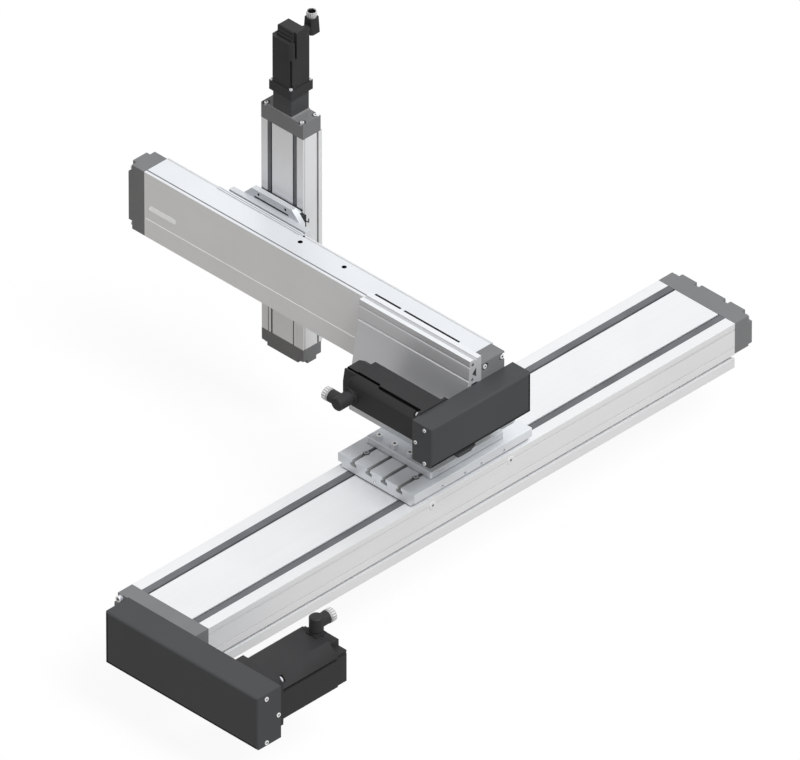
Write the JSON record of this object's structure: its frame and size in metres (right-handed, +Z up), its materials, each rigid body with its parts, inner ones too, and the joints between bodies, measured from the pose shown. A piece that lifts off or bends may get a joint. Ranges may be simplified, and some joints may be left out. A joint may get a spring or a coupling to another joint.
{
  "type": "multi-axis linear system",
  "caption": "Cartesian handling unit: a long horizontal linear module carries a cross beam on an angle bracket, which carries an upright linear module; servo motors drive ball screws.",
  "frame": {"origin": "centre of the long module's underside, at the middle of its profile's length and width", "axes": "+X along the long module, away from its belt housing; +Y along the cross beam, towards the upright module; +Z up, normal to the mounting face"},
  "size_m": [1.5255, 1.1305, 0.77],
  "materials": {
    "alu": "satin anodised",
    "alu_plate": "milled, satin",
    "grey_head": "matt grey",
    "black_housing": "matt black anodised",
    "motor_black": "matt black",
    "bearing_steel": "ground",
    "screw_steel": "polished",
    "seal": "matt",
    "belt": "matt",
    "plastic_black": "matt",
    "zinc": "zinc plated"
  },
  "bodies": {
    "x_base": {"x_profile": "alu", "x_guide_rails": "bearing_steel", "x_cover_plate": "alu", "x_seal_strips": "seal", "x_drive_head": "grey_head", "x_end_cap": "grey_head", "x_screw_bearings": "bearing_steel", "x_belt_housing": "black_housing", "x_belt_cover": "black_housing", "x_timing_belt": "belt", "x_motor": "motor_black", "x_motor_connector": "zinc", "x_screws_and_plugs": "zinc"},
    "x_screw": {"x_ball_screw": "screw_steel", "x_driven_pulley": "screw_steel"},
    "x_rotor": {"x_motor_shaft": "screw_steel", "x_drive_pulley": "screw_steel"},
    "x_slide": {"x_carriage": "alu_plate", "x_runner_blocks": "bearing_steel", "x_ball_nut": "bearing_steel", "adapter_plate": "alu_plate", "angle_bracket": "alu_plate", "y_profile": "alu", "y_guide_rails": "bearing_steel", "y_cover_plate": "alu", "y_seal_strips": "seal", "y_drive_head": "grey_head", "y_end_cap": "grey_head", "y_screw_bearings": "bearing_steel", "y_belt_housing": "black_housing", "y_belt_cover": "black_housing", "y_timing_belt": "belt", "y_motor": "motor_black", "y_motor_connector": "zinc", "carried_cap_screws": "zinc"},
    "y_screw": {"y_ball_screw": "screw_steel", "y_driven_pulley": "screw_steel"},
    "y_rotor": {"y_motor_shaft": "screw_steel", "y_drive_pulley": "screw_steel"},
    "y_slide": {"y_carriage": "alu_plate", "y_runner_blocks": "bearing_steel", "y_ball_nut": "bearing_steel", "cross_plate": "alu_plate", "z_carriage": "alu_plate", "z_runner_blocks": "bearing_steel", "z_ball_nut": "bearing_steel", "reference_switch": "plastic_black"},
    "z_slide": {"z_profile": "alu", "z_guide_rails": "bearing_steel", "z_cover_plate": "alu", "z_seal_strips": "seal", "z_drive_head": "grey_head", "z_end_cap": "grey_head", "z_screw_bearings": "bearing_steel", "z_motor_mount": "black_housing", "z_motor": "motor_black", "z_motor_connector": "zinc", "z_cap_screws": "zinc"},
    "z_screw": {"z_ball_screw": "screw_steel", "z_coupling": "screw_steel"}
  },
  "joints": [
    {"name": "x_travel", "type": "slide", "parent": "x_base", "child": "x_slide", "axis": [1, 0, 0], "range_m": [-0.52, 0.52]},
    {"name": "x_screw_spin", "type": "hinge", "parent": "x_base", "child": "x_screw", "pos_m": [0, 0, 0.042], "axis": [1, 0, 0], "continuous": true},
    {"name": "x_motor_spin", "type": "hinge", "parent": "x_base", "child": "x_rotor", "pos_m": [-0.726, -0.251, 0.042], "axis": [1, 0, 0], "continuous": true},
    {"name": "y_travel", "type": "slide", "parent": "x_slide", "child": "y_slide", "axis": [0, 1, 0], "range_m": [-0.33, 0.13]},
    {"name": "y_screw_spin", "type": "hinge", "parent": "x_slide", "child": "y_screw", "pos_m": [0.032, 0.339, 0.2885], "axis": [0, 1, 0], "continuous": true},
    {"name": "y_motor_spin", "type": "hinge", "parent": "x_slide", "child": "y_rotor", "pos_m": [-0.125, -0.1205, 0.2885], "axis": [0, 1, 0], "continuous": true},
    {"name": "z_travel", "type": "slide", "parent": "y_slide", "child": "z_slide", "axis": [0, 0, 1], "range_m": [-0.145, 0.145]},
    {"name": "z_screw_spin", "type": "hinge", "parent": "z_slide", "child": "z_screw", "pos_m": [0.1356, 0.5125, 0.2885], "axis": [0, 0, 1], "continuous": true}
  ],
  "couplings": [
    {"joint": "x_screw_spin", "follows": "x_travel", "rad_per_m": -196.35},
    {"joint": "x_motor_spin", "follows": "x_travel", "rad_per_m": -196.35},
    {"joint": "y_screw_spin", "follows": "y_travel", "rad_per_m": -314.16},
    {"joint": "y_motor_spin", "follows": "y_travel", "rad_per_m": -314.16},
    {"joint": "z_screw_spin", "follows": "z_travel", "rad_per_m": 628.32}
  ]
}
